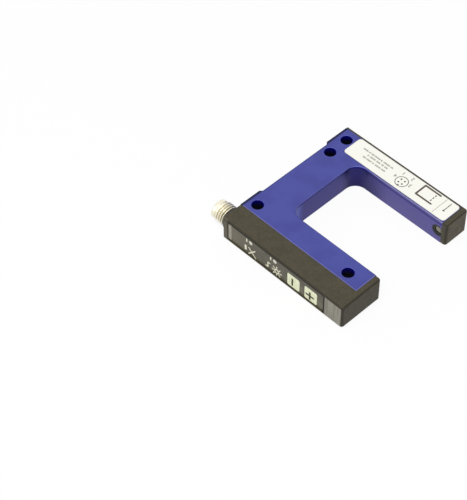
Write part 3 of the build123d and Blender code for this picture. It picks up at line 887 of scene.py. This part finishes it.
# %% [markdown]
# ## Lights beside the keys
# Each indicator is a clear pipe whose end shows in the foil as a pale dot. The end is frosted, so
# it glows evenly when the lamp behind it is lit. Here both lamps are off.

# %% Light pipes
CLEAR_PLASTIC = {"Transmission Weight": 0.1, "IOR": 1.49}

frosted, shader, place = new_finish("frosted_pipe", 0.35, 0.0, CLEAR_PLASTIC)
frost = grain(place, 0.15 * MM, 2.0)
feed(shader["Base Color"], tint(frost, paint(214, 210, 192), paint(232, 229, 214)))
feed(shader["Roughness"], 0.28 + frost * 0.2)
apply_finish(frosted, nodes["power_light_pipe"], nodes["output_light_pipe"])

# %% [markdown]
# ## Electronics inside
# The covers hide the boards, but whoever opens the model finds them finished too. A board is
# green mask over glass cloth. The weave is a fine grid, which two wave textures make.


# %% Boards
def threads(place, size, way):
    """One set of threads of a woven cloth, from 0 to 1."""
    inputs = {"Vector": place, "Scale": 0.1 / size, "Distortion": 0.4}
    return place.node("ShaderNodeTexWave", {"bands_direction": way}, inputs, output=1)


BOARD_COAT = {"Coat Weight": 0.3, "Coat Roughness": 0.2}

mask_green, shader, place = new_finish("solder_mask", 0.35, 0.0, BOARD_COAT)
cloth = (threads(place, 0.35 * MM, "X") + threads(place, 0.35 * MM, "Z")) * 0.5
track = ramp(abs(grain(place, 1.4 * MM, 0.0) - 0.5), 0.035, 0.025)
board_green = tint(cloth, paint(18, 92, 56), paint(30, 112, 70))
feed(shader["Base Color"], tint(track * 0.6, board_green, paint(52, 140, 84)))
feed(shader["Roughness"], 0.28 + cloth * 0.12)
feed(shader["Normal"], relief(track, 0.03 * MM, 0.4))
apply_finish(mask_green, nodes["control_board"], nodes["receiver_board"])

# %% [markdown]
# The small components differ only in colour and gloss: black epoxy on the chip, dark switches,
# milky resin on the lamps and a grey jacket on the flat cable. One helper makes all four.


# %% Small components and the flat cable
def small_component(name, dark, light, roughness, *components):
    """Moulded body of a small electronic component, with a fine even grain."""
    material, shader, place = new_finish(name, roughness)
    fine = grain(place, 0.1 * MM, 3.0)
    feed(shader["Base Color"], tint(fine, paint(*dark), paint(*light)))
    feed(shader["Roughness"], roughness - 0.05 + fine * 0.12)
    feed(shader["Normal"], relief(fine, 0.008 * MM, 0.4))
    apply_finish(material, *[nodes[component] for component in components])


small_component("chip_epoxy", (34, 34, 36), (52, 52, 54), 0.5, "controller_chip")
small_component("switch_body", (46, 46, 46), (64, 63, 60), 0.35, "minus_switch", "plus_switch")
small_component("lamp_resin", (224, 220, 190), (240, 238, 214), 0.2, "power_lamp", "output_lamp")
small_component("cable_jacket", (82, 84, 88), (104, 106, 110), 0.45, "link_cable")

# %% [markdown]
# ## Type label
# The label is a white polyester film with a satin face. It is not quite flat: a slow waviness of a
# few micrometres breaks up the reflections, and the edge is a little darker, in uneven patches.

# %% Label film
film_white, shader, place = new_finish("label_film", 0.38, 0.0, {"Specular IOR Level": 0.4})
x, y, _ = axes(place)
middle, half = (label_low + label_high) / 2, (label_high - label_low) / 2
edge_x = ramp(abs(x - middle.x), half.x - 0.5 * MM, half.x)
edge_y = ramp(abs(y - middle.y), half.y - 0.4 * MM, half.y)
uneven_dark_edge = larger(edge_x, edge_y) * (0.2 + grain(place, 0.6 * MM, 4.0) * 0.5)
wave = grain(place, 4 * MM, 1.0)
film = tint(wave, paint(248, 247, 236), paint(251, 250, 242))
feed(shader["Base Color"], tint(uneven_dark_edge * 0.6, film, paint(206, 202, 188)))
feed(shader["Roughness"], 0.32 + grain(place, 0.3 * MM, 3.0) * 0.14)
feed(shader["Normal"], relief(wave, 0.03 * MM, 0.3))
apply_finish(film_white, nodes["type_label"])

# %% [markdown]
# ## Printed signs
# Printing ink is a skin a few hundredths of a millimetre thick. Each sign is drawn flat with
# bmesh, then given that thickness, and only then turned onto its face. An image could carry the
# signs, but real skins stay sharp and belong to the meshes. A line with round ends is a disc that
# is pulled in two: half of its rim moves to the line's other end. Each stroke lies a hair higher or
# lower than the last one, so that crossing strokes don't flicker in one plane.

# %% Pens for ink
STROKE_STEP = 0.003  # how far one stroke lies above the last, in millimetres
HAIR = 1e-6  # a point that lies no further ahead than this stays behind


def disc(bm, centre, radius, segments=20):
    """A flat disc, in millimetres."""
    place = Matrix.Translation((centre[0], centre[1], len(bm.faces) % 4 * STROKE_STEP))
    made = bmesh.ops.create_circle(bm, cap_ends=True, segments=segments, radius=radius, matrix=place)
    return made["verts"]


def line(bm, start, end, width):
    """A line with round ends: half of a disc is pulled to the end point."""
    run = Vector(end) - Vector(start)
    rim = disc(bm, start, width / 2)
    ahead = [vert for vert in rim if (vert.co.xy - Vector(start)).dot(run) > HAIR]
    bmesh.ops.translate(bm, verts=ahead, vec=(run.x, run.y, 0))


def ring_line(bm, centre, radius, width, segments=48):
    """A circle drawn with a pen of this width: the band between two rings of edges."""
    place = Matrix.Translation((centre[0], centre[1], 0))
    rims = []
    for reach in (radius + width / 2, radius - width / 2):
        made = bmesh.ops.create_circle(
            bm, cap_ends=False, segments=segments, radius=reach, matrix=place,
        )
        rims += dict.fromkeys(edge for vert in made["verts"] for edge in vert.link_edges)
    bmesh.ops.bridge_loops(bm, edges=rims)


print("strokes lie up to", round(3 * STROKE_STEP, 3), "mm apart in height")

# %% [markdown]
# A plain field of ink is a grid of one face whose corners are rounded with `bevel`. The last
# helper gives a drawn sign its thickness with `extrude_face_region`, sinks it slightly into the
# face so that no light passes under it, and lays it there.


# %% Fields of ink, and printing on a face
INK = 0.02


def block(bm, low, high, corner):
    """A rectangle with rounded corners: a grid of one face with its corners bevelled."""
    middle = (Vector(low) + Vector(high)) / 2
    size = Vector(high) - Vector(low)
    shape = Matrix.Translation((middle.x, middle.y, 0))
    shape = shape @ Matrix.Diagonal((size.x / 2, size.y / 2, 1, 1))
    made = bmesh.ops.create_grid(bm, x_segments=1, y_segments=1, size=1, matrix=shape)
    bmesh.ops.bevel(
        bm, geom=made["verts"], offset=corner, offset_type="OFFSET", segments=4, profile=0.5,
        affect="VERTICES", material=-1, clamp_overlap=True,
    )


def print_sign(name, bm, face, body="root"):
    """Thickens flat ink in millimetres and lays it on a face, given as a matrix."""
    top = bmesh.ops.extrude_face_region(bm, geom=bm.faces[:])["geom"]
    top_verts = [part for part in top if isinstance(part, bmesh.types.BMVert)]
    bmesh.ops.translate(bm, verts=top_verts, vec=(0, 0, INK * 1.5))
    bmesh.ops.translate(bm, verts=bm.verts, vec=(0, 0, -INK * 0.5))
    bmesh.ops.transform(bm, matrix=face @ Matrix.Scale(MM, 4), verts=bm.verts)
    return make_piece(name, bm, body)


on_foil = Matrix.Translation((0, foil_low.y, 0)) @ Matrix.Rotation(math.radians(90), 4, "X")
on_label = Matrix.Translation((0, 0, label_high.z))
print("ink stands", INK, "mm proud")

# %% [markdown]
# The foil carries two groups of pale signs, one for each light, with a short stroke beside the
# light. The power light has a bar and a cross, and the output light a switching step and a sun.
# At the plug's end of the foil is a plain pale field. The signs are turned a quarter, because the
# sensor is read with its plug downwards.

# %% Signs on the foil
signs = bmesh.new()
for light_x in (-10.8, 0.35):
    line(signs, (light_x - 1.85, 6.7), (light_x - 1.85, 7.7), 0.6)
block(signs, (-13.6, 2.2), (-12.7, 4.5), 0.2)
line(signs, (-11.6, 4.3), (-8.4, 1.3), 0.48)
line(signs, (-11.7, 1.4), (-8.8, 4.6), 0.44)

step = [(-3.6, 2.2), (-2.7, 2.2), (-2.7, 4.4), (-1.8, 4.4)]
for start, end in zip(step, step[1:]):
    line(signs, start, end, 0.5)

sun = Vector((1.35, 3.0))
ring_line(signs, sun, 0.85, 0.55)
for ray in range(8):
    away = Vector((math.cos(ray * math.pi / 4), math.sin(ray * math.pi / 4)))
    line(signs, sun + away * 1.5, sun + away * 2.15, 0.44)
foil_signs = print_sign("foil_signs", signs, on_foil)

field = bmesh.new()
field_x = foil_low.x / MM + 0.25
block(field, (field_x, 1.3), (field_x + 1.35, 8.7), 0.15)
foil_field = print_sign("foil_field", field, on_foil)

# %% [markdown]
# One key carries a minus and the other a plus, turned a quarter like the rest. Each sign rides on
# its own key, so that it sinks in with the key when it is pressed.

# %% Signs on the keys
minus = bmesh.new()
minus_x = minus_middle.x / MM - 0.4
line(minus, (minus_x, 2.3), (minus_x, 5.1), 0.78)
minus_sign = print_sign("minus_sign", minus, on_foil, "minus_key")

plus = bmesh.new()
centre = Vector((plus_middle.x / MM - 0.3, 3.5))
for half in (Vector((1.6, 0)), Vector((0, 1.45))):
    line(plus, centre - half, centre + half, 0.8)
plus_sign = print_sign("plus_sign", plus, on_foil, "plus_key")

# %% [markdown]
# The label shows what a fitter needs: a picture of the fork with its beam, the pin-out of the plug
# as a circle with four numbered contacts, an arrow at the place of the beam, and rows of short
# rules. The fork comes first: three strokes, and the beam as three dashes between its arms.


# %% Picture of the fork
BOLD_STROKE = 0.72

bold = bmesh.new()
spine_x, arm_end_x, arm_low_y, arm_high_y = 13.9, 20.6, 23.3, 28.4
line(bold, (spine_x, arm_low_y), (spine_x, arm_high_y), BOLD_STROKE)
for arm_y in (arm_low_y, arm_high_y):
    line(bold, (spine_x, arm_y), (arm_end_x, arm_y), BOLD_STROKE)
beam_x = arm_end_x - 1.1
for dash in range(3):
    dash_y = arm_low_y + 1.05 + dash * 1.3
    line(bold, (beam_x, dash_y), (beam_x, dash_y + 0.45), 0.42)
print("the fork and its beam are", len(bold.faces), "strokes")

# %% [markdown]
# The numbers round the pin-out are text curves turned into meshes, since digits drawn point by
# point would be uneven. They are turned half round, because the label is read from the fork's
# outer side.


# %% Pin-out and arrow
NUMBER_HEIGHT = 1.5
FONT_SIZE = NUMBER_HEIGHT * 1.4  # a digit is about 0.7 of its font's size high


def number(bm, text, centre):
    """A plain number, read from the fork's outer side, in millimetres."""
    curve = bpy.data.curves.new("number", "FONT")
    curve.body = text
    curve.size = FONT_SIZE
    curve.align_x = "CENTER"
    curve.align_y = "CENTER"
    holder = bpy.data.objects.new("number", curve)
    flat = bpy.data.meshes.new_from_object(holder)
    half_turn = Matrix.Rotation(math.pi, 4, "Z")
    flat.transform(Matrix.Translation((centre[0], centre[1], 0)) @ half_turn)
    bm.from_mesh(flat)
    bpy.data.objects.remove(holder)
    bpy.data.curves.remove(curve)
    bpy.data.meshes.remove(flat)


circle_x, circle_y, circle_radius, contact_reach = 7.0, 23.95, 2.3, 1.1
ring_line(bold, (circle_x, circle_y), circle_radius, 0.26)
for quarter in range(4):
    turn = math.radians(45 + 90 * quarter)
    contact = (circle_x + contact_reach * math.cos(turn), circle_y + contact_reach * math.sin(turn))
    disc(bold, contact, 0.34)
key_notch = ((circle_x, circle_y - 2.2), (circle_x, circle_y - 1.8))
line(bold, *key_notch, 0.5)
for text, centre in (("1", (5.0, 27.4)), ("2", (9.0, 27.4)), ("3", (10.3, 24.6)), ("4", (3.6, 24.6))):
    number(bold, text, centre)

arrow_x = 25.55
line(bold, (arrow_x, 24.4), (arrow_x, 28.1), 0.3)
disc(bold, (arrow_x, 24.1), 0.6, segments=3)
label_signs = print_sign("label_signs", bold, on_label)

# %% [markdown]
# Three rows of short upright strokes give the label its fine grey print. Each row is a height, a
# start and the lengths of its groups, so a loop draws them all. A thin rule parts the picture of
# the fork from the arrow.

# %% Fine rules on the label
STROKE_PITCH = 0.36
STROKE_HALF = 0.26
WORD_GAP = 0.35
RULES = (
    (26.35, -12.4, (2.1, 0.7, 1.3, 2.4, 0.9, 2.9, 1.2)),
    (24.95, -9.4, (0.8, 2.6, 1.9, 1.1, 1.6)),
    (23.35, -10.1, (1.4, 2.2, 0.9, 2.5, 1.7)),
)

rules = bmesh.new()
for row_y, rule_x, lengths in RULES:
    for length in lengths:
        for stroke in range(round(length / STROKE_PITCH)):
            stroke_x = rule_x + stroke * STROKE_PITCH
            line(rules, (stroke_x, row_y - STROKE_HALF), (stroke_x, row_y + STROKE_HALF), 0.2)
        rule_x += length + WORD_GAP
divider_x = 23.2
line(rules, (divider_x, 20.8), (divider_x, 28.7), 0.14)
label_rules = print_sign("label_rules", rules, on_label)

# %% [markdown]
# Ink on film is matt and slightly uneven: the screen lays it in tiny dots, and some spots let the
# ground show through. One helper makes each ink from its colour and that of its ground.


# %% Inks
def screen_ink(name, colour, ground, *signs):
    """Matt ink that lets a little of the ground through."""
    material, shader, place = new_finish(name, 0.6, 0.0, {"Specular IOR Level": 0.3})
    thin = ramp(grain(place, 0.18 * MM, 3.0), 0.55, 0.8)
    feed(shader["Base Color"], tint(thin * 0.35, colour, ground))
    feed(shader["Roughness"], 0.52 + thin * 0.12)
    apply_finish(material, *signs)


film_grey = paint(96, 92, 82)
label_white = paint(240, 238, 228)
screen_ink("pale_ink", paint(226, 224, 198), film_grey, foil_signs)
screen_ink("field_ink", paint(156, 152, 138), film_grey, foil_field)
screen_ink("key_ink", paint(50, 50, 28), paint(200, 204, 160), minus_sign, plus_sign)
screen_ink("label_ink", paint(88, 80, 68), label_white, label_signs)
screen_ink("fine_ink", paint(118, 112, 96), label_white, label_rules)
